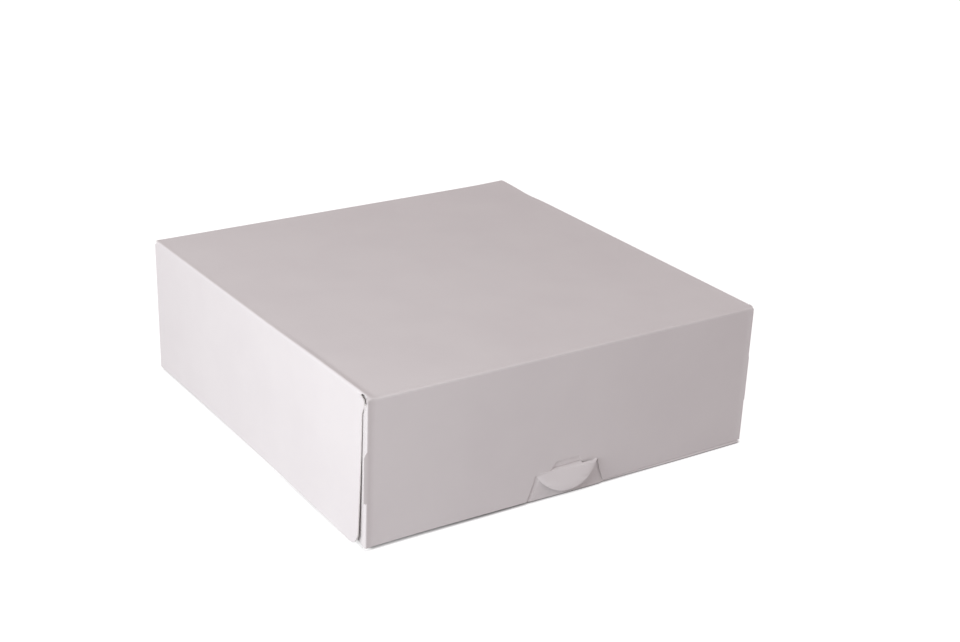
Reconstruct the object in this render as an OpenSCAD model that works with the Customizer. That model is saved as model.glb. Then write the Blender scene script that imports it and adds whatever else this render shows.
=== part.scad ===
// Folding cake box of white board, standing closed with its tongue locked at the front.
// The origin is the centre of the underside. X runs across the front, Y towards the back, Z up.
// Layers at each side, from outside in: lid's side flap, dust flap of the front flap, tray wall.
// Layers at the front, from outside in: tongue of the tray, lid's front flap, tray wall.

/* [Box] */
// Outside width, over the lid's side flaps
box_w = 229; // [180:1:300]
// Outside depth, from the lid's front flap to the back wall
box_d = 229; // [180:1:300]
// Outside height
box_h = 76.5; // [60:0.5:120]

/* [Board] */
// Thickness of the board
board = 0.6; // [0.4:0.05:0.7]
// Room between one layer of board and the next
layer_gap = 0.3; // [0.25:0.05:0.5]
// Outer radius of a rolled fold
fold_r = 1.3; // [1:0.1:2]
// Room along a crease where a flap or the lid turns
crease_gap = 0.15; // [0.12:0.01:0.3]

/* [Tray] */
// How far the lid's panel lies above the tray's walls
lid_seat = 0.2; // [0.1:0.05:0.5]
// Length of the glued tabs inside the corners
tab_len = 24; // [15:1:40]
// Distance of a glued tab from the tray's floor and from its rim
tab_inset = 3; // [1:0.5:8]
// How much a glued tab tapers at each end
tab_taper = 9; // [4:0.5:15]

/* [Lid] */
// Height of the front flap's lower edge above the table
front_lift = 1.0; // [0.5:0.1:3]
// Length of the dust flaps that fold back from the front flap
dust_len = 64; // [40:1:80]
// How far the top of a dust flap lies below the lid's top
dust_drop = 4; // [2:0.5:8]
// How much a dust flap narrows towards its free end, at the top
dust_taper = 9; // [0:0.5:15]
// Radius of a dust flap's free corners
dust_r = 8; // [3:0.5:14]
// How much of the lid's corner is cut away beside the front fold
relief_len = 6.3; // [4:0.1:10]
// How far the stop lug on each vertical fold stands past the dust flap
lug_reach = 0.4; // [0.2:0.1:1.5]
// Height of the lug's lower end
lug_low = 24.5; // [15:0.5:30]
// Length of the lug along the fold
lug_len = 26; // [10:1:30]

/* [Side flaps] */
// Distance of a side flap's front edge behind the front of the box
flap_front = 3.4; // [2:0.1:6]
// Distance of a side flap's rear edge from the back of the box
flap_rear = 2; // [0.5:0.1:6]
// Height of a side flap's lower edge above the table
flap_lift = 0.8; // [0.5:0.1:4]
// Radius of a side flap's lower front corner
flap_r = 10; // [4:0.5:20]
// Height of the curved relief at the top of a side flap's front edge
flap_relief = 5; // [3:0.5:9]
// How far the left flap has sprung outwards at its lower front corner
flare_left_front = 3.0; // [0.5:0.1:6]
// How far the left flap has sprung outwards at its lower rear corner
flare_left_rear = 1.2; // [0:0.1:4]
// How far the right flap has sprung outwards at its lower front corner
flare_right_front = 1.0; // [0.5:0.1:6]
// How far the right flap has sprung outwards at its lower rear corner
flare_right_rear = 0.8; // [0:0.1:4]

/* [Tongue lock] */
// Width of the tongue's half-moon head across its shoulders
tongue_w = 37.6; // [24:0.2:50]
// Depth of the head from its shoulders to the bottom of its arc
tongue_drop = 11.6; // [6:0.2:14]
// Height of the tongue's shoulders above the table
shoulder_z = 13.9; // [12:0.1:20]
// Width of the neck that joins the tongue to the tray's front wall
neck_w = 18.4; // [10:0.2:30]
// Height of the neck's crease above the shoulders
neck_rise = 1.5; // [1.2:0.1:3]
// Room between the front flap and the back of the tongue's shoulders
tongue_gap = 0.4; // [0.3:0.05:1]
// How far the tip of the tongue stands further out than its shoulders
tongue_tilt = 1.6; // [0.4:0.1:4]
// How much the tongue's shoulders cover the front flap's edge
shoulder_cover = 1.0; // [0.4:0.1:2]
// Width of the cut-out in the front flap that the neck passes through
window_w = 19.6; // [12:0.2:34]
// Height of that cut-out above the tongue's shoulders
window_rise = 5; // [3.5:0.1:8]
// Radius of that cut-out's upper corners
window_r = 2.6; // [1:0.1:4]
// Room between the ends of the shoulders and the curved side cuts
bell_gap = 0.5; // [0.2:0.1:2]
// How much wider the side cuts spread at the lower edge, on each side
bell_spread = 4.6; // [2:0.1:8]

/* [Hidden] */
$fn = 48;

half_w = box_w / 2;
front_y = -box_d / 2;
back_y = box_d / 2;
hinge_z = box_h - board / 2;
hinge_x = half_w - board / 2;
hinge_y = back_y - board / 2;
panel_x = half_w - board - crease_gap;
dust_x = half_w - board - layer_gap;
tray_x = dust_x - board - layer_gap;
tray_front = front_y + board + layer_gap;
tray_rim = box_h - board - lid_seat;
dust_top = box_h - dust_drop;
cut = board + 2;

// Depths behind the tray's front face: the neck leaves it, the head hangs before the front flap
head_back = board + layer_gap + tongue_gap;
neck_run = head_back + board;
neck_drop = (neck_rise - 1.15 * board) * neck_run / head_back;
tongue_low = shoulder_z - tongue_drop;
head_r = (pow(tongue_w / 2, 2) + pow(tongue_drop, 2)) / (2 * tongue_drop);
neck_z = shoulder_z + neck_rise;
flank_z = shoulder_z - shoulder_cover;
bell_w = tongue_w + 2 * bell_gap;

flap_h = hinge_z - flap_lift;
flap_cols = 10;
relief_rows = 4;
plain_rows = 5;
corner_rows = 7;

function lerp(a, b, t) = a + (b - a) * t;

// Points on an arc in a plane, from angle a to angle b
function arc(cx, cy, r, a, b, n = 10) =
    [for (i = [0 : n]) [cx + r * cos(lerp(a, b, i / n)), cy + r * sin(lerp(a, b, i / n))]];

// A list of points with its mirror image about the Y axis, as one closed outline
function both_sides(right) = concat(right, [for (i = [len(right) - 1 : -1 : 0]) [-right[i][0], right[i][1]]]);

// Section of board folded once with a rolled corner: one leg on +X, one on +Y, corner at the origin
module fold_section(leg_x, leg_y) {
    translate([fold_r, 0]) square([leg_x - fold_r, board]);
    translate([0, fold_r]) square([board, leg_y - fold_r]);
    intersection() {
        translate([fold_r, fold_r])
            difference() {
                circle(fold_r);
                circle(fold_r - board);
            }
        square(fold_r);
    }
}

// An outline in X and Z stood up and given a depth in Y, starting at y
module front_plate(y, depth) {
    translate([0, y + depth, 0]) rotate([90, 0, 0]) linear_extrude(depth) children();
}

// An outline in Y and Z stood up and given a thickness in X, starting at x
module side_plate(x, thick) {
    translate([x, 0, 0]) rotate([90, 0, 90]) linear_extrude(thick) children();
}

// Half-moon head below its shoulders
function head_outline() =
    let (spread = asin(tongue_w / 2 / head_r))
    arc(0, tongue_low + head_r, head_r, -90 - spread, -90 + spread, 28);

// The tongue's whole outline: head, shoulders and neck up to its crease
function tongue_outline(top) =
    concat(head_outline(),
        [[neck_w / 2, shoulder_z], [neck_w / 2, top], [-neck_w / 2, top], [-neck_w / 2, shoulder_z]]);

// Curved side cut of the front flap, from the shoulder's end down past the lower edge
function bell_side(n = 10) =
    [for (i = [0 : n])
        let (z = lerp(flank_z, 0, i / n))
        [bell_w / 2 + bell_spread * pow(1 - z / flank_z, 1.6), z]];

// Cut-out in the front flap, open at its lower edge, with a window for the neck on top
function notch_outline() =
    let (top = shoulder_z + window_rise)
    both_sides(concat(
        arc(window_w / 2 - window_r, top - window_r, window_r, 90, 0, 8),
        [[window_w / 2, flank_z]],
        bell_side(),
        [[bell_w / 2 + bell_spread, -board]]));

// Section of the tongue in Y and Z, with y counted forwards from the wall's outer face
function tongue_section() =
    [[0, neck_z + board], [0, neck_z],
     [neck_run, neck_z - neck_drop], [neck_run + tongue_tilt, tongue_low - board],
     [head_back + tongue_tilt, tongue_low - board], [head_back, shoulder_z],
     [-board, shoulder_z + neck_drop], [-board, neck_z + board]];

module tongue() {
    intersection() {
        side_plate(-tongue_w, 2 * tongue_w)
            polygon([for (p = tongue_section()) [tray_front - p[0], p[1]]]);
        front_plate(front_y - 3 * head_back - tongue_tilt, 6 * head_back + 2 * tongue_tilt)
            polygon(tongue_outline(neck_z + board));
    }
}

// Tab that folds off the end of a side wall and is glued flat behind the front or back wall
module corner_tab() {
    tab_low = tab_inset + board;
    tab_high = tray_rim - tab_inset;
    intersection() {
        translate([0, 0, tab_low])
            linear_extrude(tab_high - tab_low)
                fold_section(tab_len, 2 * fold_r);
        front_plate(-board, 3 * fold_r)
            polygon([[-board, tab_low], [tab_len - tab_taper, tab_low], [tab_len, tab_low + tab_taper],
                     [tab_len, tab_high - tab_taper], [tab_len - tab_taper, tab_high], [-board, tab_high]]);
    }
}

// One side of the tray: its wall with the rolled fold to the floor, and a glued tab at each end
module tray_side() {
    wall_front = tray_front + board + fold_r;
    wall_back = back_y - board - fold_r;
    translate([0, wall_back, 0])
        rotate([90, 0, 0])
            linear_extrude(wall_back - wall_front)
                translate([-tray_x, 0])
                    fold_section(tray_x, tray_rim);
    translate([-tray_x, tray_front + board, 0]) corner_tab();
    translate([-tray_x, back_y - board, 0]) mirror([0, 1, 0]) corner_tab();
}

// Front or back wall of the tray with its rolled fold to the floor, outer face at y = 0
module tray_end() {
    translate([fold_r - tray_x, 0, 0])
        rotate([90, 0, 90])
            linear_extrude(2 * (tray_x - fold_r))
                fold_section(box_d / 2, tray_rim);
    front_plate(0, board)
        polygon([[-tray_x, 2 * fold_r], [tray_x, 2 * fold_r], [tray_x, tray_rim], [-tray_x, tray_rim]]);
}

module tray() {
    color("whitesmoke") {
        difference() {
            translate([0, tray_front, 0]) tray_end();
            front_plate(tray_front - 1, cut) polygon(tongue_outline(neck_z));
        }
        translate([0, back_y, 0]) mirror([0, 1, 0]) tray_end();
        tray_side();
        mirror([1, 0, 0]) tray_side();
        tongue();
    }
}

// Dust flap in Y and Z: a slanted top, and rounded corners at its free end
function dust_outline() =
    let (start = front_y + fold_r, end = front_y + dust_len,
         low = front_lift, high = dust_top - dust_taper)
    concat(
        [[start, dust_top - 1], [start, low]],
        arc(end - dust_r, low + dust_r, dust_r, -90, 0),
        arc(end - dust_r, high - dust_r, dust_r, 0, 80));

// Left end of the front flap: rolled fold with the dust flap behind it, and the lug that stays flat
module dust_flap() {
    translate([-dust_x, front_y, front_lift])
        linear_extrude(dust_top - 2 - front_lift)
            fold_section(2 * fold_r, 2 * fold_r);
    side_plate(-dust_x, board) polygon(dust_outline());
}

module lid_panel() {
    relief_w = panel_x - dust_x + board;
    translate([0, 0, box_h - board])
        linear_extrude(board)
            polygon(both_sides([
                [panel_x - relief_w, front_y + fold_r],
                [panel_x - relief_w / 2, front_y + relief_len * 0.7],
                [panel_x, front_y + relief_len],
                [panel_x, hinge_y]]));
    translate([-panel_x, hinge_y, hinge_z]) rotate([0, 90, 0]) cylinder(h = 2 * panel_x, r = board / 2);
}

module front_flap() {
    // rolled fold under the lid's panel, full width down to the dust flaps
    top_x = dust_x - board / 2;
    translate([-top_x, front_y, box_h])
        rotate([90, 0, 90])
            linear_extrude(2 * top_x)
                mirror([0, 1]) fold_section(relief_len, dust_drop);
    front_plate(front_y, board)
        polygon(both_sides([
            [dust_x - fold_r, front_lift],
            [dust_x - fold_r, lug_low],
            [dust_x + lug_reach, lug_low],
            [dust_x + lug_reach, lug_low + lug_len - 3],
            [dust_x - fold_r, lug_low + lug_len],
            [dust_x - fold_r, dust_top],
            [dust_x - fold_r, box_h - fold_r]]));
}

module lid() {
    color("gainsboro") {
        lid_panel();
        difference() {
            front_flap();
            front_plate(front_y - 1, cut) polygon(notch_outline());
        }
        for (side = [0, 1])
            mirror([side, 0, 0])
                difference() {
                    dust_flap();
                    // the fold is cut through behind the lug
                    translate([-dust_x - 1, front_y - 1, lug_low])
                        cube([fold_r + 1, fold_r + 1, lug_len]);
                }
    }
}

// Distance of a side flap's front edge behind the front, at a depth below the crease
function flap_front_edge(depth) =
    let (relief = max(0, 1 - depth / flap_relief), round_at = max(0, depth - (flap_h - flap_r)))
    flap_front + (relief_len - flap_front) * pow(relief, 2)
        + flap_r - sqrt(pow(flap_r, 2) - pow(round_at, 2));

// Depths of the rows of points below the crease: relief, plain stretch, rounded corner
function flap_depths() = concat(
    [for (i = [0 : relief_rows - 1]) flap_relief * i / relief_rows],
    [for (i = [0 : plain_rows - 1]) lerp(flap_relief, flap_h - flap_r, i / plain_rows)],
    [for (i = [0 : corner_rows]) flap_h - flap_r + flap_r * sin(88 * i / corner_rows) / sin(88)]);

// One loop of points round the flap's section: down its inner face and up its outer face
function flap_loop(u, flare_front, flare_rear) =
    let (depths = flap_depths(), last = len(depths) - 1,
         flare = lerp(flare_rear, flare_front, u * u),
         y_at = function(d) lerp(back_y - flap_rear, front_y + flap_front_edge(d), u),
         x_at = function(d) hinge_x + flare * pow(d / flap_h, 1.3))
    concat(
        [for (i = [0 : last]) [x_at(depths[i]) - board / 2, y_at(depths[i]), hinge_z - depths[i]]],
        [for (i = [last : -1 : 0]) [x_at(depths[i]) + board / 2, y_at(depths[i]), hinge_z - depths[i]]]);

// Side flap on the +X side, hanging from its crease and sprung a little outwards
module side_flap(flare_front, flare_rear) {
    loops = [for (c = [0 : flap_cols]) flap_loop(c / flap_cols, flare_front, flare_rear)];
    n = len(loops[0]);
    rows = len(flap_depths());
    skin = [for (c = [0 : flap_cols - 1], i = [0 : n - 1])
        let (a = c * n + i, b = c * n + (i + 1) % n)
        each [[a, b + n, b], [a, a + n, b + n]]];
    // each end is closed by strips between the two faces
    rear_end = [for (i = [0 : rows - 2])
        each [[i, i + 1, 2 * rows - 2 - i], [i, 2 * rows - 2 - i, 2 * rows - 1 - i]]];
    front_end = [for (f = rear_end) [for (i = [2 : -1 : 0]) f[i] + flap_cols * n]];
    polyhedron(points = [for (l = loops) each l], faces = concat(skin, rear_end, front_end), convexity = 4);
    // half-round top, which turns in the crease
    crown_front = front_y + relief_len;
    crown_len = back_y - flap_rear - crown_front;
    intersection() {
        translate([hinge_x, crown_front, hinge_z]) rotate([-90, 0, 0]) cylinder(h = crown_len, r = board / 2);
        translate([hinge_x - board, crown_front, hinge_z]) cube([2 * board, crown_len, board]);
    }
}

module side_flap_right() {
    color("white") side_flap(flare_right_front, flare_right_rear);
}

module side_flap_left() {
    color("white") mirror([1, 0, 0]) side_flap(flare_left_front, flare_left_rear);
}

tray();
lid();
side_flap_left();
side_flap_right();
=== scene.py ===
# %% [markdown]
# # A square cake box of white board
#
# A cake box is one sheet of coated board. It is cut flat, creased, folded up and glued at four
# corners, and its lid locks with a tongue at the front. The CAD frame holds the box as four solids
# that hinge on each other. They are right in size, but a real sheet has round folds, a soft spring
# in its flaps, and a cut edge that looks rougher than its face. This script makes the same sheets
# again the way a box maker does: draw the flat blank, score it, fold it, then give it thickness.

import math

import bmesh
import bpy
from mathutils import Matrix, Vector
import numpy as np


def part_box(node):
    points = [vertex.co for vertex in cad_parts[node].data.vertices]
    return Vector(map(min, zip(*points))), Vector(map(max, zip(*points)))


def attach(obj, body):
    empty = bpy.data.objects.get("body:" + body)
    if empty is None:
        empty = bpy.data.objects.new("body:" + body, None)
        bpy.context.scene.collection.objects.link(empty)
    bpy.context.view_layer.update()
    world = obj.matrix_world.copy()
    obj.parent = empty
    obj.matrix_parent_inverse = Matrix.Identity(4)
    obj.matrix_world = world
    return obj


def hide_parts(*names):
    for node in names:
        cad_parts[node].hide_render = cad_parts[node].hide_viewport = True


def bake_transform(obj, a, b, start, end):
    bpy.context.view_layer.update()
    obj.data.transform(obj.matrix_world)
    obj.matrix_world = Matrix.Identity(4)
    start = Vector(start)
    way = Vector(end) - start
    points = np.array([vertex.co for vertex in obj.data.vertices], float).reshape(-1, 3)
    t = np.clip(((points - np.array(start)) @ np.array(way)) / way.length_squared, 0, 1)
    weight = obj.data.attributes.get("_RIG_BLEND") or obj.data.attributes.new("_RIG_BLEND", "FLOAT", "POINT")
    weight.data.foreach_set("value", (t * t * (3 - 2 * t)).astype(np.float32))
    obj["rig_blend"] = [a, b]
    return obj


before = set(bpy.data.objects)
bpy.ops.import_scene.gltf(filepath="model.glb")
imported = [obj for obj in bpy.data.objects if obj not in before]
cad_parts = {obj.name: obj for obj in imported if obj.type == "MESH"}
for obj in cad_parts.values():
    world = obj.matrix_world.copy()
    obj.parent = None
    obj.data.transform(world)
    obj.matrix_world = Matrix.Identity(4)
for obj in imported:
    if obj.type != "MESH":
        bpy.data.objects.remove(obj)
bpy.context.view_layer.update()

# %% [markdown]
# ## Sizes
#
# Every length below is in millimetres, because board is measured that way. The places of the
# walls come from the frame's own boxes, so the sheets land where the CAD solids are. Only what
# belongs to the board itself, such as its thickness and the radius of a fold, is written here.

# %% Sizes of the board, and places taken from the frame
MM = 0.001
board = 0.6
layer_gap = 0.3
fold_r = 0.9
hinge_r = 0.9
fold_steps = 5


def box_in_mm(node):
    low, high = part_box(node)
    return low / MM, high / MM


lid_low, lid_high = box_in_mm("lid")
tray_high = box_in_mm("tray")[1]
flap_low = box_in_mm("side_flap_right")[0]

top_z = lid_high.z
front_y = lid_low.y
back_y = tray_high.y
side_x = flap_low.x + board
tray_x = tray_high.x
dust_x = tray_x + layer_gap + board
tray_front = front_y + board + layer_gap
tray_rim = top_z - board - 0.2
crease_x = side_x - hinge_r
crease_z = top_z - hinge_r
crease_y = back_y - hinge_r
print(f"box {2 * side_x:.1f} x {back_y - front_y:.1f} x {top_z:.1f} mm")

# %% [markdown]
# ## Tools for board: lay out, score, fold
#
# Each sheet starts as one flat face, drawn by its outline. Only the right half is drawn, and it
# is mirrored once it has been folded, which also leaves the middle line free for the cut-outs of
# the lock. `score` cuts the face along straight lines with bisect_plane. Some of those lines are
# the creases, and the rest make a grid, so that the sheet can bend softly. The flat position of
# each vertex is kept in two layers, because after folding it is the only easy way to say which
# part of the sheet a vertex belongs to.


# %% Lay out an outline and score it
def corner_arc(u, v, radius, start, stop, steps=8):
    """Points on an arc in the blank, with angles in degrees."""
    angles = [math.radians(start + (stop - start) * i / steps) for i in range(steps + 1)]
    return [(u + radius * math.cos(a), v + radius * math.sin(a)) for a in angles]


def lay_out(bm, outline):
    """One flat face from its outline, drawn anticlockwise."""
    bm.faces.new([bm.verts.new((u, v, 0)) for u, v in outline])


def score(bm, across, places):
    """Cuts all faces along straight lines that cross the u or the v direction."""
    normal = Vector((1, 0, 0)) if across == "u" else Vector((0, 1, 0))
    for place in places:
        everything = bm.verts[:] + bm.edges[:] + bm.faces[:]
        bmesh.ops.bisect_plane(bm, geom=everything, dist=1e-4, plane_co=normal * place, plane_no=normal)


def spaced(start, stop, step):
    """Even places from start to stop, about one step apart."""
    count = max(1, round(abs(stop - start) / step))
    return [start + (stop - start) * i / count for i in range(count + 1)]


def ease(share):
    """Goes softly from 0 to 1 while share goes from 0 to 1."""
    share = max(0, min(1, share))
    return share * share * (3 - 2 * share)


def remember_flat(bm):
    """Keeps each vertex's place in the flat blank."""
    flat_u = bm.verts.layers.float.new("flat_u")
    flat_v = bm.verts.layers.float.new("flat_v")
    for vert in bm.verts:
        vert[flat_u] = vert.co.x
        vert[flat_v] = vert.co.y


# %% [markdown]
# ## How a crease folds
#
# Board doesn't fold to a knife edge: its outer face rolls over a radius of about one and a half
# thicknesses. The crease is scored as a few narrow strips, and `roll` turns all that lies beyond
# each score line by a share of the right angle, starting with the outermost line, while the rest
# is still flat. Every strip is as wide as the chord of its step, so the corners of the strips end
# up exactly on the round.


# %% Roll a crease through a right angle
def chord_of(radius):
    return 2 * radius * math.sin(math.radians(90 / fold_steps) / 2)


fold_len = fold_steps * chord_of(fold_r)


def crease_lines(start, direction=1):
    """Places of the score lines of one rolled crease."""
    return [start + direction * k * chord_of(fold_r) for k in range(fold_steps + 1)]


def roll(bm, side, start, fold, among):
    """Folds what lies beyond start on that side of the blank. fold is "down" or "up"."""
    flat_u = bm.verts.layers.float["flat_u"]
    flat_v = bm.verts.layers.float["flat_v"]
    turn = 1 if fold == "down" else -1
    for k in reversed(range(fold_steps + 1)):
        line = start + k * chord_of(fold_r)
        share = 0.5 if k in (0, fold_steps) else 1
        angle = turn * math.radians(90 / fold_steps) * share
        if side == "right":
            moved = [v for v in bm.verts if v[flat_u] > line + 1e-3 and among(v[flat_u], v[flat_v])]
            pivot, matrix = (line, 0, 0), Matrix.Rotation(angle, 3, "Y")
        elif side == "front":
            moved = [v for v in bm.verts if -v[flat_v] > line + 1e-3 and among(v[flat_u], v[flat_v])]
            pivot, matrix = (0, -line, 0), Matrix.Rotation(angle, 3, "X")
        else:
            moved = [v for v in bm.verts if v[flat_v] > line + 1e-3 and among(v[flat_u], v[flat_v])]
            pivot, matrix = (0, line, 0), Matrix.Rotation(-angle, 3, "X")
        bmesh.ops.rotate(bm, verts=moved, cent=pivot, matrix=matrix)


# %% [markdown]
# ## Wear at the creases
#
# Where board is creased, its white coating stretches and its fibres show a little. Later the
# material reads that from an attribute. Each vertex gets 1 on a crease and fades to 0 within about
# two millimetres, measured in the flat blank.


# %% Mark creases, mirror, and face outwards
def mark_creases(bm, creases):
    """creases is a list of functions that give the distance from a crease in the flat blank."""
    flat_u = bm.verts.layers.float["flat_u"]
    flat_v = bm.verts.layers.float["flat_v"]
    wear = bm.verts.layers.float.new("crease")
    for vert in bm.verts:
        nearest = min([abs(distance(vert[flat_u], vert[flat_v])) for distance in creases] + [99])
        vert[wear] = max(0, 1 - max(0, nearest - fold_len / 2) / 1.6) ** 2


def mirror_half(bm):
    """The left half from the right one, welded along the middle line."""
    everything = bm.verts[:] + bm.edges[:] + bm.faces[:]
    bmesh.ops.mirror(bm, geom=everything, axis="X", matrix=Matrix.Identity(4), merge_dist=1e-3)
    bmesh.ops.remove_doubles(bm, verts=bm.verts[:], dist=2e-3)


def face_outwards(bm):
    """Turns all faces so that they point away from the middle of the box."""
    bmesh.ops.recalc_face_normals(bm, faces=bm.faces[:])
    middle = Vector((0, 0, top_z / 2))
    outward = sum((f.calc_center_median() - middle).dot(f.normal) * f.calc_area() for f in bm.faces)
    if outward < 0:
        bmesh.ops.reverse_faces(bm, faces=bm.faces[:])


# %% [markdown]
# ## The lid's blank
#
# The lid is the panel, the front flap below it, and a dust flap on each end of the front flap.
# The front flap has a bell-shaped cut-out, open at its lower edge, with a small window above it
# for the neck of the tongue. Beside the front corners the panel is cut back a little, so that the
# board doesn't tear where three folds meet.

# %% Outline of the lid's right half
front_lift = 1.0
dust_end = front_y + 64
dust_top = top_z - 3.9
dust_low_top = top_z - 13.1
dust_corner = 8
flat_end = 0.3
panel_front = front_y + fold_r
front_fold = dust_x - fold_r
relief_y = front_y + 4.6
panel_side = crease_x - flat_end
panel_back = crease_y - flat_end
flap_back = back_y - 2
shoulder_z = 14.8
flank_z = 13.8
window_half = 9.6
window_top_half = 7.6
window_top = 18.9
window_round = 1.4
slit_u = front_fold + 1.0
back_end = side_x - 0.8


def front_v(z):
    """Where a height on the front flap lies in the lid's blank."""
    return panel_front - fold_len - (top_z - fold_r - z)


def dust_u(y):
    """Where a depth on the dust flap lies in the lid's blank."""
    return front_fold + fold_len + (y - panel_front)


def bell_half(z):
    """Half the width of the bell-shaped cut-out at a height."""
    return 19.3 + 4.7 * max(0, 1 - z / flank_z) ** 1.25


lid_outline = [(0, front_v(window_top))]
window_arc = corner_arc(window_top_half - window_round, window_top - window_round, window_round, 90, 15)
lid_outline += [(u, front_v(z)) for u, z in window_arc]
lid_outline += [(window_half, front_v(shoulder_z)), (window_half, front_v(flank_z))]
lid_outline += [(bell_half(z), front_v(z)) for z in spaced(flank_z, front_lift, 1.0)]
lid_outline += [(front_fold, front_v(front_lift))]
lid_outline += [
    (dust_u(y), front_v(z))
    for y, z in corner_arc(dust_end - dust_corner, front_lift + dust_corner, dust_corner, -90, 0)
    + corner_arc(dust_end - dust_corner, dust_low_top - dust_corner, dust_corner, 0, 80)
]
lid_outline += [(front_fold + fold_len, front_v(dust_top)), (front_fold + 1.2, front_v(dust_top + 0.3))]
lid_outline += [(slit_u, front_v(dust_top + 1.0)), (slit_u, panel_front - fold_len)]
lid_outline += [(slit_u, panel_front), (crease_x + 0.2, panel_front + 1.7)]
lid_outline += [(crease_x + 0.6, relief_y), (panel_side, relief_y), (panel_side, flap_back)]
lid_outline += [(back_end, flap_back), (back_end, panel_back), (0, panel_back)]
print("lid outline:", len(lid_outline), "corners for one half")

# %% [markdown]
# ## The stop lugs
#
# On each vertical fold at the front a short length stays flat: a cut frees it from the dust flap,
# so it stands past the corner as a small lug. In the blank it lies inside the fold. Its faces are
# split from their neighbours, and their flat position is set back to the crease line, so that the
# fold passes them by. The lug then hangs on the front flap by one edge, which merging the doubles
# closes again.

# %% Cut and free the lug
lug_low = 24.5
lug_high = 51.5
lug_slant = 3
lug_reach = dust_x - 0.2 - front_fold


def snip(bm, start, end):
    """Cuts along a straight line in the blank, only through the faces between its two ends."""
    low = Vector((min(start[0], end[0]), min(start[1], end[1])))
    high = Vector((max(start[0], end[0]), max(start[1], end[1])))
    faces = []
    for face in bm.faces:
        middle = face.calc_center_median()
        if low.x < middle.x < high.x and low.y < middle.y < high.y:
            faces.append(face)
    around = list({e for f in faces for e in f.edges}) + list({v for f in faces for v in f.verts})
    normal = Vector((start[1] - end[1], end[0] - start[0], 0)).normalized()
    bmesh.ops.bisect_plane(bm, geom=faces + around, dist=1e-4, plane_co=(*start, 0), plane_no=normal)


def in_lug(face):
    """True for a face of the flat blank that belongs to the lug."""
    middle = face.calc_center_median()
    beyond = middle.x - front_fold
    height = middle.y - front_v(0)
    return 0 < beyond < lug_reach and lug_low < height < lug_high - lug_slant * beyond / lug_reach


lid = bmesh.new()
lay_out(lid, lid_outline)
near_crease = [1.0, 2.2, 3.6]
score(lid, "u", spaced(0, front_fold, 6)[:-1] + [front_fold - d for d in near_crease])
score(lid, "u", crease_lines(front_fold) + [front_fold + lug_reach])
score(lid, "u", spaced(front_fold + fold_len, dust_u(dust_end), 6))
score(lid, "v", spaced(panel_back, panel_front, 6) + [panel_front + d for d in near_crease])
score(lid, "v", [panel_back - d for d in near_crease])
score(lid, "v", crease_lines(panel_front, -1))
score(lid, "v", [panel_front - fold_len - d for d in near_crease])
score(lid, "v", [front_v(z) for z in spaced(top_z - fold_r, front_lift, 6)])
lug_rows = [lug_low, lug_high - lug_slant, lug_high]
score(lid, "v", [front_v(z) for z in lug_rows + [flank_z, shoulder_z, dust_top, 4, 2.5]])
snip(lid, (front_fold, front_v(lug_high)), (front_fold + lug_reach, front_v(lug_high - lug_slant)))

remember_flat(lid)
flat_u = lid.verts.layers.float["flat_u"]
lug_faces = [f for f in lid.faces if in_lug(f)]
lug_parts = bmesh.ops.split(lid, geom=lug_faces, use_only_faces=True)["geom"]
for part in lug_parts:
    if isinstance(part, bmesh.types.BMVert):
        part[flat_u] = min(part[flat_u], front_fold)
print("lug faces:", len(lug_faces))

# %% Fold and mirror the lid
mark_creases(
    lid,
    [
        lambda u, v: v - (panel_front - fold_len / 2),
        lambda u, v: 99 if v > panel_front - fold_len else u - (front_fold + fold_len / 2),
    ],
)
roll(lid, "right", front_fold, "down", lambda u, v: v < panel_front - fold_len - 1e-3)
roll(lid, "front", -panel_front, "down", lambda u, v: True)
bmesh.ops.translate(lid, verts=lid.verts[:], vec=(0, 0, top_z))
mirror_half(lid)
face_outwards(lid)
print("lid sheet:", len(lid.faces), "faces")

# %% [markdown]
# ## The tray's blank
#
# The tray is the floor with four walls. Tabs at the ends of the side walls fold round the corners
# and are glued behind the front and back walls. The tongue is cut out of the front wall and stays
# joined to it only at the neck, so the outline leaves a hole for it along the middle line, and
# the tongue itself is a second face in the same blank.

# %% Outline of the tray's right half, and of the tongue
tab_len = 24
tab_taper = 9
tab_low = 3.6
tab_high = tray_rim - 3
floor_side = tray_x - fold_r
floor_front = tray_front + fold_r
floor_back = back_y - fold_r
side_front = tray_front + board + fold_r
side_back = back_y - board - fold_r
wall_top_back = crease_z - flat_end
tongue_half = 18.4
tongue_low = 3.5
neck_half = 9.2
neck_z = 15.4
rim_width = 0.55
lock_columns = [12, 16, 18, 19, 20, 22, 23, 25]
lock_rows = [16.3, 15.8, 15.1, shoulder_z, flank_z, 13.2, 12.5, 10, 8, 6, 4, 1.8]


def side_u(z):
    """Where a height on the side wall lies in the tray's blank."""
    return floor_side + fold_len + z - fold_r


def wall_v(z):
    """Where a height on the front wall lies in the tray's blank."""
    return floor_front - fold_len - (z - fold_r)


def back_v(z):
    """Where a height on the back wall lies in the tray's blank."""
    return floor_back + fold_len + (z - fold_r)


def tab_points(edge, direction):
    """A glued tab beyond one end of the side wall, from its low to its high end."""
    tip = fold_len + tab_len - fold_r
    slope_start = tip - tab_taper
    corners = [
        (tab_low, 0),
        (tab_low, slope_start),
        (tab_low + tab_taper, tip),
        (tab_high - tab_taper, tip),
        (tab_high, slope_start),
        (tab_high, 0),
    ]
    return [(side_u(z), edge + direction * d) for z, d in corners]


head_drop = shoulder_z - tongue_low
head_r = (tongue_half**2 + head_drop**2) / (2 * head_drop)
head_spread = math.degrees(math.asin(tongue_half / head_r))
head_arc = corner_arc(0, tongue_low + head_r, head_r, -90, -90 + head_spread, 14)
tongue_outline = [(u, wall_v(z)) for u, z in head_arc]
tongue_outline += [(neck_half, wall_v(shoulder_z)), (neck_half, wall_v(neck_z))]

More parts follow.
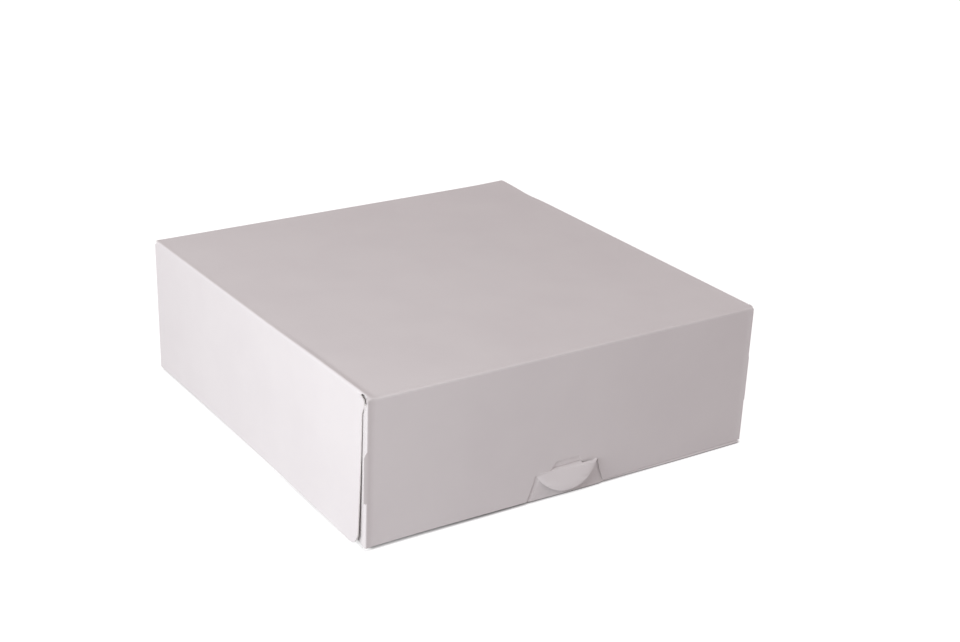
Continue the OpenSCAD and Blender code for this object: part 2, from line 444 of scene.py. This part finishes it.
tray_outline = [(0, back_v(wall_top_back)), (0, wall_v(tongue_low))]
tray_outline += tongue_outline[1:]
tray_outline += [(0, wall_v(neck_z)), (0, wall_v(tray_rim)), (tray_x, wall_v(tray_rim))]
tray_outline += [(tray_x, wall_v(2 * fold_r)), (floor_side, wall_v(2 * fold_r)), (floor_side, side_front)]
tray_outline += tab_points(side_front, -1)
tray_outline += [(side_u(tray_rim), side_front), (side_u(tray_rim), side_back)]
tray_outline += list(reversed(tab_points(side_back, 1)))
tray_outline += [(floor_side, side_back), (floor_side, back_v(2 * fold_r)), (tray_x, back_v(2 * fold_r))]
tray_outline += [(tray_x, back_v(wall_top_back))]
tongue_outline += [(0, wall_v(neck_z))]
print("tray outline:", len(tray_outline), "corners for one half")

# %% [markdown]
# ## Folding the tray
#
# The tabs fold first, while the side walls are still flat, then each wall. The tongue is not
# folded on a line: its neck slants out through the window of the front flap, and its head hangs
# down in front of that flap, a little further out at its tip. The knife has turned the rim of the
# head back a little, so an inset rim is pushed inwards, and that catches the light on one side.
# It hangs askew: its right side stands out further than its left. The wall around it bulges
# forward into the flap's cut-out, and on the right half the front fold of the tray shows as a thin
# lip under the front flap.

# %% Score, fold and mirror the tray
tray = bmesh.new()
lay_out(tray, tray_outline)
lay_out(tray, tongue_outline)
tongue_mark = tray.faces.layers.int.new("tongue")
tray.faces.ensure_lookup_table()
tray.faces[1][tongue_mark] = 1
bmesh.ops.inset_region(tray, faces=[tray.faces[1]], thickness=rim_width, use_even_offset=True)
score(tray, "u", spaced(0, floor_side, 7)[:-1] + [floor_side - d for d in near_crease])
score(tray, "u", lock_columns)
score(tray, "u", crease_lines(floor_side))
score(tray, "u", spaced(side_u(fold_r), side_u(tray_rim), 7) + [side_u(fold_r) + d for d in near_crease])
score(tray, "v", spaced(side_front, side_back, 7))
score(tray, "v", crease_lines(floor_back) + crease_lines(floor_front, -1))
score(tray, "v", crease_lines(side_back) + crease_lines(side_front, -1))
score(tray, "v", [wall_v(z) for z in spaced(fold_r, tray_rim, 7)[1:]])
score(tray, "v", [back_v(z) for z in spaced(fold_r, wall_top_back, 7)[1:]])
score(tray, "v", [wall_v(z) for z in lock_rows])

remember_flat(tray)
mark_creases(
    tray,
    [
        lambda u, v: u - (floor_side + fold_len / 2) if floor_front < v < floor_back else 99,
        lambda u, v: v - (floor_front - fold_len / 2) if u <= tray_x else 99,
        lambda u, v: v - (floor_back + fold_len / 2) if u <= tray_x else 99,
        lambda u, v: v - (side_front - fold_len / 2) if u > tray_x + 1 else 99,
        lambda u, v: v - (side_back + fold_len / 2) if u > tray_x + 1 else 99,
    ],
)


def on_side_wall(u, v):
    return u > tray_x + 1 or side_front - 1e-3 < v < side_back + 1e-3


roll(tray, "front", -side_front, "up", lambda u, v: u > tray_x + 1)
roll(tray, "back", side_back, "up", lambda u, v: u > tray_x + 1)
roll(tray, "right", floor_side, "up", on_side_wall)
roll(tray, "front", -floor_front, "up", lambda u, v: u < tray_x + 1e-3)
roll(tray, "back", floor_back, "up", lambda u, v: u < tray_x + 1e-3)
print("tray half folded:", len(tray.faces), "faces")

# %% Push the tongue out through the window
neck_out = 1.3
neck_end = 14.8
neck_bend = 1.5
neck_groove = 0.2
rim_turn = 0.4
tongue_tilt = 3.1
tongue_shift = 0.6
askew_from = -8
askew_out = 0.1
askew_up = 0.04
askew_in = 0.05
wall_bulge = 0.6
window_bulge = 0.3
lip_top = 1.3
lip_middle = 0.9
lip_right = 0.8


def tongue_out(z):
    """How far the outer face of the tongue stands in front of the tray's wall at a height."""
    if z > neck_end:
        return neck_out * (neck_z - z) / (neck_z - neck_end)
    return neck_out + tongue_tilt * (neck_end - z) / (neck_end - tongue_low)


tongue_mark = tray.faces.layers.int["tongue"]
tongue_verts = {v for f in tray.faces if f[tongue_mark] for v in f.verts}
for vert in tongue_verts:
    on_rim = math.hypot(vert.co.x, vert.co.z - tongue_low - head_r) > head_r - 0.2 and vert.co.z < shoulder_z
    vert.co.y -= tongue_out(vert.co.z) - (rim_turn if on_rim else 0)
for vert in tray.verts:
    if vert.co.y < tray_front + 0.1 and abs(vert.co.z - neck_z) < 0.05 and vert.co.x < neck_half + 0.1:
        vert.co.y += neck_groove
for vert in tray.verts:
    if vert not in tongue_verts and abs(vert.co.y - tray_front) < 0.3 and vert.co.z < flank_z:
        inside = ease((bell_half(vert.co.z) - 0.8 - vert.co.x) / 2) * ease((flank_z - vert.co.z) / 3)
        vert.co.y -= wall_bulge * inside
    elif vert not in tongue_verts and abs(vert.co.y - tray_front) < 0.1 and 15.6 < vert.co.z < window_top:
        inside = ease((window_half - vert.co.x) / 2) * ease((window_top - vert.co.z) / 1.5)
        vert.co.y -= window_bulge * inside
mirror_half(tray)
tongue_mark = tray.faces.layers.int["tongue"]
for vert in {v for f in tray.faces if f[tongue_mark] for v in f.verts}:
    bent = max(0, min(1, (neck_z - vert.co.z) / neck_bend))
    beyond = (vert.co.x - askew_from) * bent
    vert.co.x -= tongue_shift * bent + askew_in * max(0, beyond)
    vert.co.y -= askew_out * beyond
    vert.co.z += askew_up * max(0, beyond)
for vert in tray.verts:
    if vert.co.y < tray_front + 2 and vert.co.z < 2:
        lip = lip_middle * ease((vert.co.x + 25) / 40) + lip_right * ease((vert.co.x - 20) / 60)
        vert.co.y -= lip * ease((lip_top - vert.co.z) / 1.0)
face_outwards(tray)
print("tray sheet:", len(tray.faces), "faces, half the tongue has", len(tongue_verts), "corners")

# %% [markdown]
# ## The side flaps
#
# Each side flap hangs from the lid's edge outside everything else. It is a plain sheet with a
# rounded lower front corner, and a curved cut frees the top of its front edge from the lid's
# corner. Its rear edge slants a little. Nothing holds the flap, so it springs outwards, most at its
# lower front corner. Both are drawn from one outline, each with its own spring, and the left one is
# then mirrored.

# %% Lay out and bend the side flaps
flap_lift = 1.2
flap_round = 7
flap_top = crease_z - flat_end
flap_depth = flap_top - flap_lift
flap_start = 5.5
notch_in = 3.3
notch_long = 2.6
hollow_in = 2.2
slant_out = 4.0


def flap_edge(depth):
    """The front edge of a side flap at a depth below its top."""
    notch = notch_in * max(0, 1 - depth / notch_long) ** 2
    hollow = hollow_in * ease((depth - 3) / 7)
    slant = slant_out * depth / flap_depth
    return front_y + flap_start + notch + hollow - slant


flap_front = flap_edge(flap_depth - flap_round)
flap_outline = [(0, flap_back)]
flap_outline += [(d, flap_edge(d)) for d in spaced(0, 10, 0.6) + spaced(10, flap_depth - flap_round, 6)[1:-1]]
flap_outline += corner_arc(flap_depth - flap_round, flap_front + flap_round, flap_round, -90, 0, 12)
flap_outline += [(flap_depth, flap_back - 0.5), (2.0, flap_back + 2.0), (0.8, flap_back + 1.6)]


def side_flap(side, flare_front, flare_rear, droop):
    """A side flap. side is 1 for the right one and -1 for the left one, and droop lowers its front."""
    bm = bmesh.new()
    lay_out(bm, flap_outline)
    score(bm, "u", spaced(0, flap_depth, 5) + near_crease)
    score(bm, "v", spaced(flap_back, relief_y, 6) + [flap_front + d for d in (0.5, 1.5, 3)])
    remember_flat(bm)
    mark_creases(bm, [lambda u, v: u + 1])
    bmesh.ops.rotate(bm, verts=bm.verts[:], cent=(0, 0, 0), matrix=Matrix.Rotation(math.pi / 2, 3, "Y"))
    bmesh.ops.translate(bm, verts=bm.verts[:], vec=(side_x, 0, flap_top))
    for vert in bm.verts:
        along = (flap_back - vert.co.y) / (flap_back - flap_front)
        flare = flare_rear + (flare_front - flare_rear) * max(0, along) ** 2.3
        depth_share = max(0, (flap_top - vert.co.z) / flap_depth)
        vert.co.x += flare * depth_share**1.3
        vert.co.z -= droop * depth_share * ease((along - 0.5) / 0.5)
    bmesh.ops.scale(bm, verts=bm.verts[:], vec=(side, 1, 1))
    face_outwards(bm)
    return bm


right_flap = side_flap(1, 1.0, 0.8, 0)
left_flap = side_flap(-1, 3.3, 0.4, 1.5)
print("side flaps:", len(left_flap.faces), "faces each")

# %% [markdown]
# ## The creases that turn
#
# The lid hinges on the tray, and the side flaps hinge on the lid, by nothing but a crease. Each
# of these three creases is its own narrow strip: a line, extruded a little flat, spun through the
# quarter round, and extruded flat again. The strips will later be blended between the two bodies
# that they join, so that they bend as the board does.

# %% Spin the three crease strips
strip_steps = 6


def crease_strip(start, end, along, outwards):
    """A quarter-round strip whose line runs from start to end, on top of the box."""
    bm = bmesh.new()
    count = len(spaced(0, (Vector(end) - Vector(start)).length, 6)) - 1
    verts = [bm.verts.new(Vector(start).lerp(Vector(end), i / count)) for i in range(count + 1)]
    edges = [bm.edges.new(pair) for pair in zip(verts, verts[1:])]
    inwards = Vector(outwards) * -flat_end
    flat = bmesh.ops.extrude_edge_only(bm, edges=edges)["geom"]
    flat_verts = [e for e in flat if isinstance(e, bmesh.types.BMVert)]
    bmesh.ops.translate(bm, verts=flat_verts, vec=inwards)
    turned = bmesh.ops.spin(
        bm,
        geom=verts + edges,
        cent=Vector(start) - Vector((0, 0, hinge_r)),
        axis=along,
        angle=math.pi / 2,
        steps=strip_steps,
    )["geom_last"]
    last_edges = [e for e in turned if isinstance(e, bmesh.types.BMEdge)]
    low = bmesh.ops.extrude_edge_only(bm, edges=last_edges)["geom"]
    low_verts = [e for e in low if isinstance(e, bmesh.types.BMVert)]
    bmesh.ops.translate(bm, verts=low_verts, vec=(0, 0, -flat_end))
    bmesh.ops.remove_doubles(bm, verts=bm.verts[:], dist=1e-3)
    remember_flat(bm)
    wear = bm.verts.layers.float.new("crease")
    for vert in bm.verts:
        vert[wear] = 1
    face_outwards(bm)
    return bm


def side_strip(side):
    """The strip between the lid and a side flap. side is 1 for the right one and -1 for the left one."""
    start = (side * crease_x, relief_y, top_z)
    end = (side * crease_x, flap_back, top_z)
    return crease_strip(start, end, (0, side, 0), (side, 0, 0))


crease_right = side_strip(1)
crease_left = side_strip(-1)
crease_back = crease_strip((-back_end, crease_y, top_z), (back_end, crease_y, top_z), (-1, 0, 0), (0, 1, 0))
for strip in (crease_right, crease_left):
    for vert in strip.verts:
        rolled = ease((abs(vert.co.x) - crease_x) / hinge_r) * (1 - flat_end / 3)
        near_front = max(0, 1 - (vert.co.y - relief_y) / 12)
        vert.co.y += (flap_edge(0) - relief_y) * rolled * near_front
print("crease strips:", len(crease_left.faces), "and", len(crease_back.faces), "faces")

# %% [markdown]
# ## The dust flaps spring too
#
# The dust flaps are folded back behind the side flaps, and like every folded board they want to
# open again. They push the two ends of the front flap outwards by a millimetre or two, more on the
# left, so the left vertical fold stands past the lid's side edge. Each fold also stands up as a
# small ridge in front of the panel, the left lug stands clear of its corner, and the lower edge of
# the flap hangs a little lower on the left than on the right.


# %% Push the ends of the front flap outwards
spring_start = 96


def bump(distance, width):
    """A soft bump that is 1 at no distance and fades within about two widths."""
    return math.exp(-((distance / width) ** 2))


def spring_out(point):
    """Where a point of the lid's sheet goes when the dust flaps push."""
    x, y, z = point
    depth = y - front_y
    push = 1.5 + 0.5 * z / top_z if x < 0 else -0.2
    corner = 1.0 if x < 0 else -1.2 * bump(z - top_z, 1.2)
    ridge = 0.5 if x < 0 else 0.25
    swing = 2.8 if x < 0 else 0.3
    if z > top_z - 1.2:
        kept = 1 - ease(depth / (relief_y - front_y))
    else:
        kept = 1 - ease((depth - 4 + 2.5 * (z / top_z) ** 3) / 5)
    across = ease((abs(x) - spring_start) / (front_fold - spring_start))
    outwards = across * (push * kept + corner * bump(depth, 1.3))
    outwards += swing * across * ease((40 - z) / 40) * bump(depth - 3.5, 2.5) * ease(depth / 2)
    forwards = ridge * bump(abs(x) - front_fold - 0.4, 1.5) * bump(depth, 1.0)
    lifted = 0.6 * x / side_x * max(0, 1 - z / 10)
    return Vector((x - outwards if x < 0 else x + outwards, y - forwards, z + lifted))


left_lug_extra = 1.25
flat_u = lid.verts.layers.float["flat_u"]
lug_count = 0
for vert in lid.verts:
    beyond = abs(vert.co.x) - front_fold
    on_lug = vert[flat_u] < front_fold + 1e-3 and beyond > 0.05 and vert.co.z < top_z - fold_r - 0.1
    vert.co = spring_out(vert.co)
    if on_lug and vert.co.x < 0:
        vert.co.x -= left_lug_extra * beyond / lug_reach
        lug_count += 1
print("corners of the left lug:", lug_count)

# %% [markdown]
# ## Board is never quite flat
#
# A folded sheet keeps a soft wave in its panels, and each crease raises the board beside it. One
# rule moves the vertices of all sheets by their place in the box, so layers that lie on each
# other move together and never cut through one another. The box isn't quite square either: low on
# the left it stands a millimetre high, and the rear of that side leans in. The lock was cut about
# a millimetre left of the middle, in both of its layers.


# %% Bend all sheets a little by one rule
lock_shift = 1.4
left_lift = 1.1
rear_lean = 0.7
front_bead = 0.3
right_dip = 0.55
rear_rise = 0.5


def soften(point):
    """Where a point of the ideal box goes in the real one, in mm."""
    x, y, z = point
    high = max(0, min(1, z / top_z)) ** 2
    from_edge = min(side_x - abs(x), y - front_y, back_y - y)
    inside = max(0, min(1, from_edge / 25))
    wave = 0.22 * math.sin(x / 31 + 0.7) * math.sin(y / 39 + 2.1) + 0.14 * math.sin((x + 2 * y) / 57)
    up = high * inside * wave
    bead = 0.1 + (0.4 * ease((-20 - y) / 50) if x < 0 else 0)
    up += bead * high * bump(side_x - abs(x) - 1.0, 1.6)
    up += front_bead * high * bump(y - front_y - 0.5, 2.2)
    near_side = bump(side_x - x - 3, 10) if x > 0 else 0
    up -= right_dip * high * near_side * bump(y - 86, 10)
    up += rear_rise * high * bump(math.hypot(x - side_x, y - back_y), 16)
    low = 1 - max(0, min(1, z / top_z))
    up += (left_lift - 0.5 * bump(y - 10, 60)) * low * ease((-x - 10) / 90)
    if x < 0:
        x += rear_lean * low * ease((y + 60) / 170)
    if y < front_y + 2.5:
        x -= lock_shift * ease((75 - abs(x)) / 45) * ease((50 - z) / 20)
    return Vector((x, y, z + up))


for bm in (lid, tray, right_flap, left_flap, crease_right, crease_left, crease_back):
    for vert in bm.verts:
        vert.co = soften(vert.co)

# %% [markdown]
# ## Thickness
#
# Solidify gives each sheet its 0.6 mm, inwards from the outer face. It also hands out materials:
# the coated outer face keeps slot 0, the plain inner face gets slot 1 and the cut edge slot 2.
# Edges where two faces meet at a clear angle are marked sharp, so that the cut edge stays crisp
# while the rolled folds stay smooth.


# %% Turn a bmesh into a finished sheet
def finished_sheet(name, bm):
    """An object in metres with its thickness applied."""
    bmesh.ops.scale(bm, verts=bm.verts[:], vec=(MM, MM, MM))
    for face in bm.faces:
        face.smooth = True
    mesh = bpy.data.meshes.new(name)
    bm.to_mesh(mesh)
    bm.free()
    sheet = bpy.data.objects.new(name, mesh)
    bpy.context.scene.collection.objects.link(sheet)
    for _ in range(3):
        mesh.materials.append(None)
    thick = sheet.modifiers.new("thickness", "SOLIDIFY")
    thick.thickness = board * MM
    thick.offset = -1
    thick.use_even_offset = True
    thick.material_offset = 1
    thick.material_offset_rim = 2
    bpy.context.view_layer.update()
    shown = sheet.evaluated_get(bpy.context.evaluated_depsgraph_get())
    solid = bpy.data.meshes.new_from_object(shown)
    sheet.modifiers.clear()
    sheet.data = solid
    solid.name = name
    edges = bmesh.new()
    edges.from_mesh(solid)
    for edge in edges.edges:
        edge.smooth = edge.calc_face_angle(0) < math.radians(32)
    edges.to_mesh(solid)
    edges.free()
    print(name, len(solid.vertices), "vertices")
    return sheet


lid_sheet = finished_sheet("lid_sheet", lid)
tray_sheet = finished_sheet("tray_sheet", tray)
right_flap_sheet = finished_sheet("right_flap_sheet", right_flap)
left_flap_sheet = finished_sheet("left_flap_sheet", left_flap)
crease_right_strip = finished_sheet("crease_right", crease_right)
crease_left_strip = finished_sheet("crease_left", crease_left)
crease_back_strip = finished_sheet("crease_back", crease_back)

# %% [markdown]
# ## Shared effects as node groups
#
# All three finishes are made of the same pulp, so the fibre and the faint cloudiness are node
# groups that each material uses with its own amounts. The crease group reads the attribute that
# was painted on the blank and puts out a mask that is broken up by noise.


# %% Node groups for fibre, cloudiness and creases
def new_group(name, inputs, outputs):
    """An empty node group. inputs maps each name to its default value, outputs lists names."""
    group = bpy.data.node_groups.new(name, "ShaderNodeTree")
    for label, value in inputs.items():
        socket = group.interface.new_socket(label, in_out="INPUT", socket_type="NodeSocketFloat")
        socket.default_value = value
    for label in outputs:
        group.interface.new_socket(label, in_out="OUTPUT", socket_type="NodeSocketFloat")
    return group, group.nodes.new("NodeGroupInput"), group.nodes.new("NodeGroupOutput")


def add(tree, kind, **settings):
    node = tree.nodes.new(kind)
    for key, value in settings.items():
        setattr(node, key, value)
    return node


def noise(tree, place, scale, detail, roughness):
    node = add(tree, "ShaderNodeTexNoise")
    tree.links.new(place, node.inputs["Vector"])
    node.inputs["Scale"].default_value = scale
    node.inputs["Detail"].default_value = detail
    node.inputs["Roughness"].default_value = roughness
    return node.outputs["Fac"]


def maths(tree, operation, first, second):
    node = add(tree, "ShaderNodeMath", operation=operation)
    for socket, value in zip(node.inputs, (first, second)):
        if hasattr(value, "node"):
            tree.links.new(value, socket)
        else:
            socket.default_value = value
    return node.outputs[0]


fibre, given, result = new_group("paper fibre", {"Fine": 0.5, "Coarse": 0.5}, ["Height", "Fleck"])
place = add(fibre, "ShaderNodeTexCoord").outputs["Object"]
stretched = add(fibre, "ShaderNodeMapping")
stretched.inputs["Scale"].default_value = (1, 0.45, 0.8)
fibre.links.new(place, stretched.inputs["Vector"])
fine = noise(fibre, stretched.outputs["Vector"], 2600, 3, 0.6)
coarse = noise(fibre, stretched.outputs["Vector"], 520, 2, 0.5)
fine_part = maths(fibre, "MULTIPLY", fine, given.outputs["Fine"])
coarse_part = maths(fibre, "MULTIPLY", coarse, given.outputs["Coarse"])
fibre.links.new(maths(fibre, "ADD", fine_part, coarse_part), result.inputs["Height"])
fibre.links.new(noise(fibre, stretched.outputs["Vector"], 1400, 4, 0.7), result.inputs["Fleck"])

cloud, given, result = new_group("cloudy coating", {"Size": 0.03}, ["Shade"])
place = add(cloud, "ShaderNodeTexCoord").outputs["Object"]
frequency = maths(cloud, "DIVIDE", 1.0, given.outputs["Size"])
grown = add(cloud, "ShaderNodeVectorMath", operation="SCALE")
cloud.links.new(place, grown.inputs["Vector"])
cloud.links.new(frequency, grown.inputs["Scale"])
cloud.links.new(noise(cloud, grown.outputs["Vector"], 1.0, 3, 0.55), result.inputs["Shade"])

crease, given, result = new_group("crease wear", {"Break": 0.5}, ["Mask"])
painted = add(crease, "ShaderNodeAttribute", attribute_name="crease").outputs["Fac"]
place = add(crease, "ShaderNodeTexCoord").outputs["Object"]
broken = maths(crease, "MULTIPLY", noise(crease, place, 900, 3, 0.65), given.outputs["Break"])
crease.links.new(maths(crease, "SUBTRACT", painted, broken), result.inputs["Mask"])
print("node groups:", [g.name for g in bpy.data.node_groups])

# %% [markdown]
# ## Three finishes
#
# The outer face is coated with white clay: a soft satin with a very fine texture, a touch of
# cloudiness, and creases that are a little lighter and rougher. The inner face is plain board,
# warmer and fully matt. The cut edge shows raw fibre.


# %% Materials of the board
def board_finish(name, colour, darker, lighter, roughness, bump_height, fine, coarse, cloud_size):
    """A Principled material whose colour, roughness and bump come from the shared groups."""
    material = bpy.data.materials.new(name)
    material.use_nodes = True
    tree = material.node_tree
    shader = tree.nodes["Principled BSDF"]
    fibre_node = add(tree, "ShaderNodeGroup", node_tree=fibre)
    fibre_node.inputs["Fine"].default_value = fine
    fibre_node.inputs["Coarse"].default_value = coarse
    cloud_node = add(tree, "ShaderNodeGroup", node_tree=cloud)
    cloud_node.inputs["Size"].default_value = cloud_size
    crease_node = add(tree, "ShaderNodeGroup", node_tree=crease)

    clouded = add(tree, "ShaderNodeMix", data_type="RGBA")
    clouded.inputs["A"].default_value = (*darker, 1)
    clouded.inputs["B"].default_value = (*colour, 1)
    shade = add(tree, "ShaderNodeMapRange")
    shade.inputs["From Min"].default_value = 0.3
    shade.inputs["From Max"].default_value = 0.62
    tree.links.new(cloud_node.outputs["Shade"], shade.inputs["Value"])
    tree.links.new(shade.outputs["Result"], clouded.inputs["Factor"])

    worn = add(tree, "ShaderNodeMix", data_type="RGBA")
    worn.inputs["B"].default_value = (*lighter, 1)
    mask = add(tree, "ShaderNodeMapRange")
    mask.inputs["From Min"].default_value = 0.25
    mask.inputs["From Max"].default_value = 0.95
    mask.inputs["To Max"].default_value = 0.5
    tree.links.new(crease_node.outputs["Mask"], mask.inputs["Value"])
    tree.links.new(mask.outputs["Result"], worn.inputs["Factor"])
    tree.links.new(clouded.outputs["Result"], worn.inputs["A"])
    tree.links.new(worn.outputs["Result"], shader.inputs["Base Color"])

    rough = add(tree, "ShaderNodeMapRange")
    rough.inputs["To Min"].default_value = roughness - 0.05
    rough.inputs["To Max"].default_value = roughness + 0.09
    tree.links.new(fibre_node.outputs["Fleck"], rough.inputs["Value"])
    tree.links.new(rough.outputs["Result"], shader.inputs["Roughness"])

    relief = add(tree, "ShaderNodeBump")
    relief.inputs["Strength"].default_value = 0.6
    relief.inputs["Distance"].default_value = bump_height
    tree.links.new(fibre_node.outputs["Height"], relief.inputs["Height"])
    tree.links.new(relief.outputs["Normal"], shader.inputs["Normal"])
    return material


coated = board_finish(
    "coated_white",
    colour=(0.835, 0.805, 0.812),
    darker=(0.815, 0.783, 0.792),
    lighter=(0.875, 0.85, 0.855),
    roughness=0.52,
    bump_height=0.00003,
    fine=0.5,
    coarse=0.5,
    cloud_size=0.035,
)
coated.node_tree.nodes["Principled BSDF"].inputs["Specular IOR Level"].default_value = 0.35
plain = board_finish(
    "plain_inner",
    colour=(0.74, 0.71, 0.67),
    darker=(0.69, 0.66, 0.62),
    lighter=(0.78, 0.75, 0.71),
    roughness=0.85,
    bump_height=0.00006,
    fine=0.4,
    coarse=0.8,
    cloud_size=0.02,
)
cut_edge = board_finish(
    "cut_edge",
    colour=(0.87, 0.85, 0.84),
    darker=(0.78, 0.76, 0.75),
    lighter=(0.89, 0.87, 0.86),
    roughness=0.9,
    bump_height=0.00008,
    fine=0.9,
    coarse=0.5,
    cloud_size=0.006,
)

# %% Put the finishes on the sheets and let them ride
sheets = {
    lid_sheet: ("lid", ["lid"]),
    tray_sheet: ("tray", ["tray"]),
    right_flap_sheet: ("right_flap", ["side_flap_right"]),
    left_flap_sheet: ("left_flap", ["side_flap_left"]),
}
strips = [crease_right_strip, crease_left_strip, crease_back_strip]
for piece in [*sheets, *strips]:
    for slot, material in enumerate((coated, plain, cut_edge)):
        piece.data.materials[slot] = material
for piece, (body, nodes) in sheets.items():
    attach(piece, body)
    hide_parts(*nodes)

mid_r = hinge_r - board / 2
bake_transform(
    crease_right_strip,
    "lid",
    "right_flap",
    start=(crease_x * MM, 0, (crease_z + mid_r) * MM),
    end=((crease_x + mid_r) * MM, 0, crease_z * MM),
)
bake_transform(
    crease_left_strip,
    "lid",
    "left_flap",
    start=(-crease_x * MM, 0, (crease_z + mid_r) * MM),
    end=((-crease_x - mid_r) * MM, 0, crease_z * MM),
)
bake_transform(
    crease_back_strip,
    "tray",
    "lid",
    start=(0, (crease_y + mid_r) * MM, crease_z * MM),
    end=(0, crease_y * MM, (crease_z + mid_r) * MM),
)

# %% [markdown]
# ## Floor, light and camera
#
# The box stands on a plain white table that runs to the horizon. To the camera the table glows
# almost pure white, and a painted contact shadow, found by ambient occlusion, dims that glow in a
# thin dark line where the box touches it. On the side of the lamp that painted shadow is washed
# out. One large soft lamp stands on the left, and a faintly pink sky fills the rest.

# %% Floor
painted_shadow_reach = 0.002
painted_shadow_power = 2.2
glow_strength = 0.85


def seen_directly(tree):
    """1 for a ray from the camera, or from a mirror or a glass, and 0 for any other."""
    path = add(tree, "ShaderNodeLightPath")
    mirrored = maths(tree, "MAXIMUM", path.outputs["Is Glossy Ray"], path.outputs["Is Transmission Ray"])
    return maths(tree, "MAXIMUM", path.outputs["Is Camera Ray"], mirrored)


floor_mesh = bpy.data.meshes.new("floor")
floor_bm = bmesh.new()
bmesh.ops.create_grid(floor_bm, x_segments=1, y_segments=1, size=4)
bmesh.ops.translate(floor_bm, verts=floor_bm.verts[:], vec=(0, 0, -0.0001))
floor_bm.to_mesh(floor_mesh)
floor_bm.free()
floor = bpy.data.objects.new("floor", floor_mesh)
bpy.context.scene.collection.objects.link(floor)

table = bpy.data.materials.new("white table")
table.use_nodes = True
tree = table.node_tree
tree.nodes.remove(tree.nodes["Principled BSDF"])
real = add(tree, "ShaderNodeBsdfDiffuse")
real.inputs["Color"].default_value = (0.66, 0.662, 0.67, 1)
seen = add(tree, "ShaderNodeBsdfDiffuse")
seen.inputs["Color"].default_value = (0.5, 0.5, 0.5, 1)
glow = add(tree, "ShaderNodeEmission")
# Painted contact shadow: ambient occlusion within two millimetres darkens the glow that the camera sees,
# drawing a thin dark line at the foot of the box.
contact = add(tree, "ShaderNodeAmbientOcclusion", samples=8)
contact.inputs["Distance"].default_value = painted_shadow_reach
shaded = maths(tree, "SUBTRACT", 1.0, maths(tree, "POWER", contact.outputs["AO"], painted_shadow_power))
# The painted shadow is kept in front of the box and away from the lamp's side, and washed out on the lamp's
# side.
sides = add(tree, "ShaderNodeSeparateXYZ")
tree.links.new(add(tree, "ShaderNodeTexCoord").outputs["Object"], sides.inputs[0])
away_from_lamp = add(tree, "ShaderNodeMapRange")
away_from_lamp.inputs["From Min"].default_value = -0.1175
away_from_lamp.inputs["From Max"].default_value = -0.115
tree.links.new(sides.outputs["X"], away_from_lamp.inputs["Value"])
in_front = add(tree, "ShaderNodeMapRange")
in_front.inputs["From Min"].default_value = -0.1145
in_front.inputs["From Max"].default_value = -0.116
tree.links.new(sides.outputs["Y"], in_front.inputs["Value"])
kept = maths(tree, "MAXIMUM", away_from_lamp.outputs["Result"], in_front.outputs["Result"])
painted_shadow = maths(tree, "MULTIPLY", shaded, kept)
glow_under_painted_shadow = maths(tree, "MULTIPLY", maths(tree, "SUBTRACT", 1.0, painted_shadow), glow_strength)
tree.links.new(glow_under_painted_shadow, glow.inputs["Strength"])
both = add(tree, "ShaderNodeAddShader")
tree.links.new(seen.outputs[0], both.inputs[0])
tree.links.new(glow.outputs[0], both.inputs[1])
choice = add(tree, "ShaderNodeMixShader")
tree.links.new(seen_directly(tree), choice.inputs[0])
tree.links.new(real.outputs[0], choice.inputs[1])
tree.links.new(both.outputs[0], choice.inputs[2])
tree.links.new(choice.outputs[0], tree.nodes["Material Output"].inputs["Surface"])
floor_mesh.materials.append(table)

# %% Lamp and sky
key = bpy.data.lights.new("soft key", "AREA")
key.shape = "RECTANGLE"
key.size = 0.6
key.size_y = 0.5
key.energy = 5.33
key.color = (0.935, 0.981, 1.0)
key_lamp = bpy.data.objects.new("soft key", key)
bpy.context.scene.collection.objects.link(key_lamp)
key_lamp.location = (-0.85, -0.30, 0.42)
key_lamp.rotation_euler = (Vector((0, 0, 0.03)) - key_lamp.location).to_track_quat("-Z", "Y").to_euler()

world = bpy.data.worlds.new("studio")
bpy.context.scene.world = world
world.use_nodes = True
tree = world.node_tree
sky = tree.nodes["Background"]
sky.inputs["Color"].default_value = (1.0, 0.885, 0.88, 1)
sky.inputs["Strength"].default_value = 0.466
backdrop = add(tree, "ShaderNodeBackground")
choice = add(tree, "ShaderNodeMixShader")
tree.links.new(seen_directly(tree), choice.inputs[0])
tree.links.new(sky.outputs[0], choice.inputs[1])
tree.links.new(backdrop.outputs[0], choice.inputs[2])
tree.links.new(choice.outputs[0], tree.nodes["World Output"].inputs["Surface"])

# %% Camera at the photograph's angle
camera_data = bpy.data.cameras.new("camera")
camera_data.lens = 64.815
camera_data.sensor_width = 36
camera = bpy.data.objects.new("camera", camera_data)
bpy.context.scene.collection.objects.link(camera)
bpy.context.scene.camera = camera
camera.location = (-0.47144, -0.70587, 0.40755)
heading = Matrix.Rotation(math.radians(-34.994), 4, "Z")
tilt = Matrix.Rotation(math.radians(90 - 22.856), 4, "X")
lean = Matrix.Rotation(math.radians(2.7), 4, "Z")
camera.rotation_euler = (heading @ tilt @ lean).to_euler()

# %% View transform
bpy.context.scene.view_settings.view_transform = "Standard"
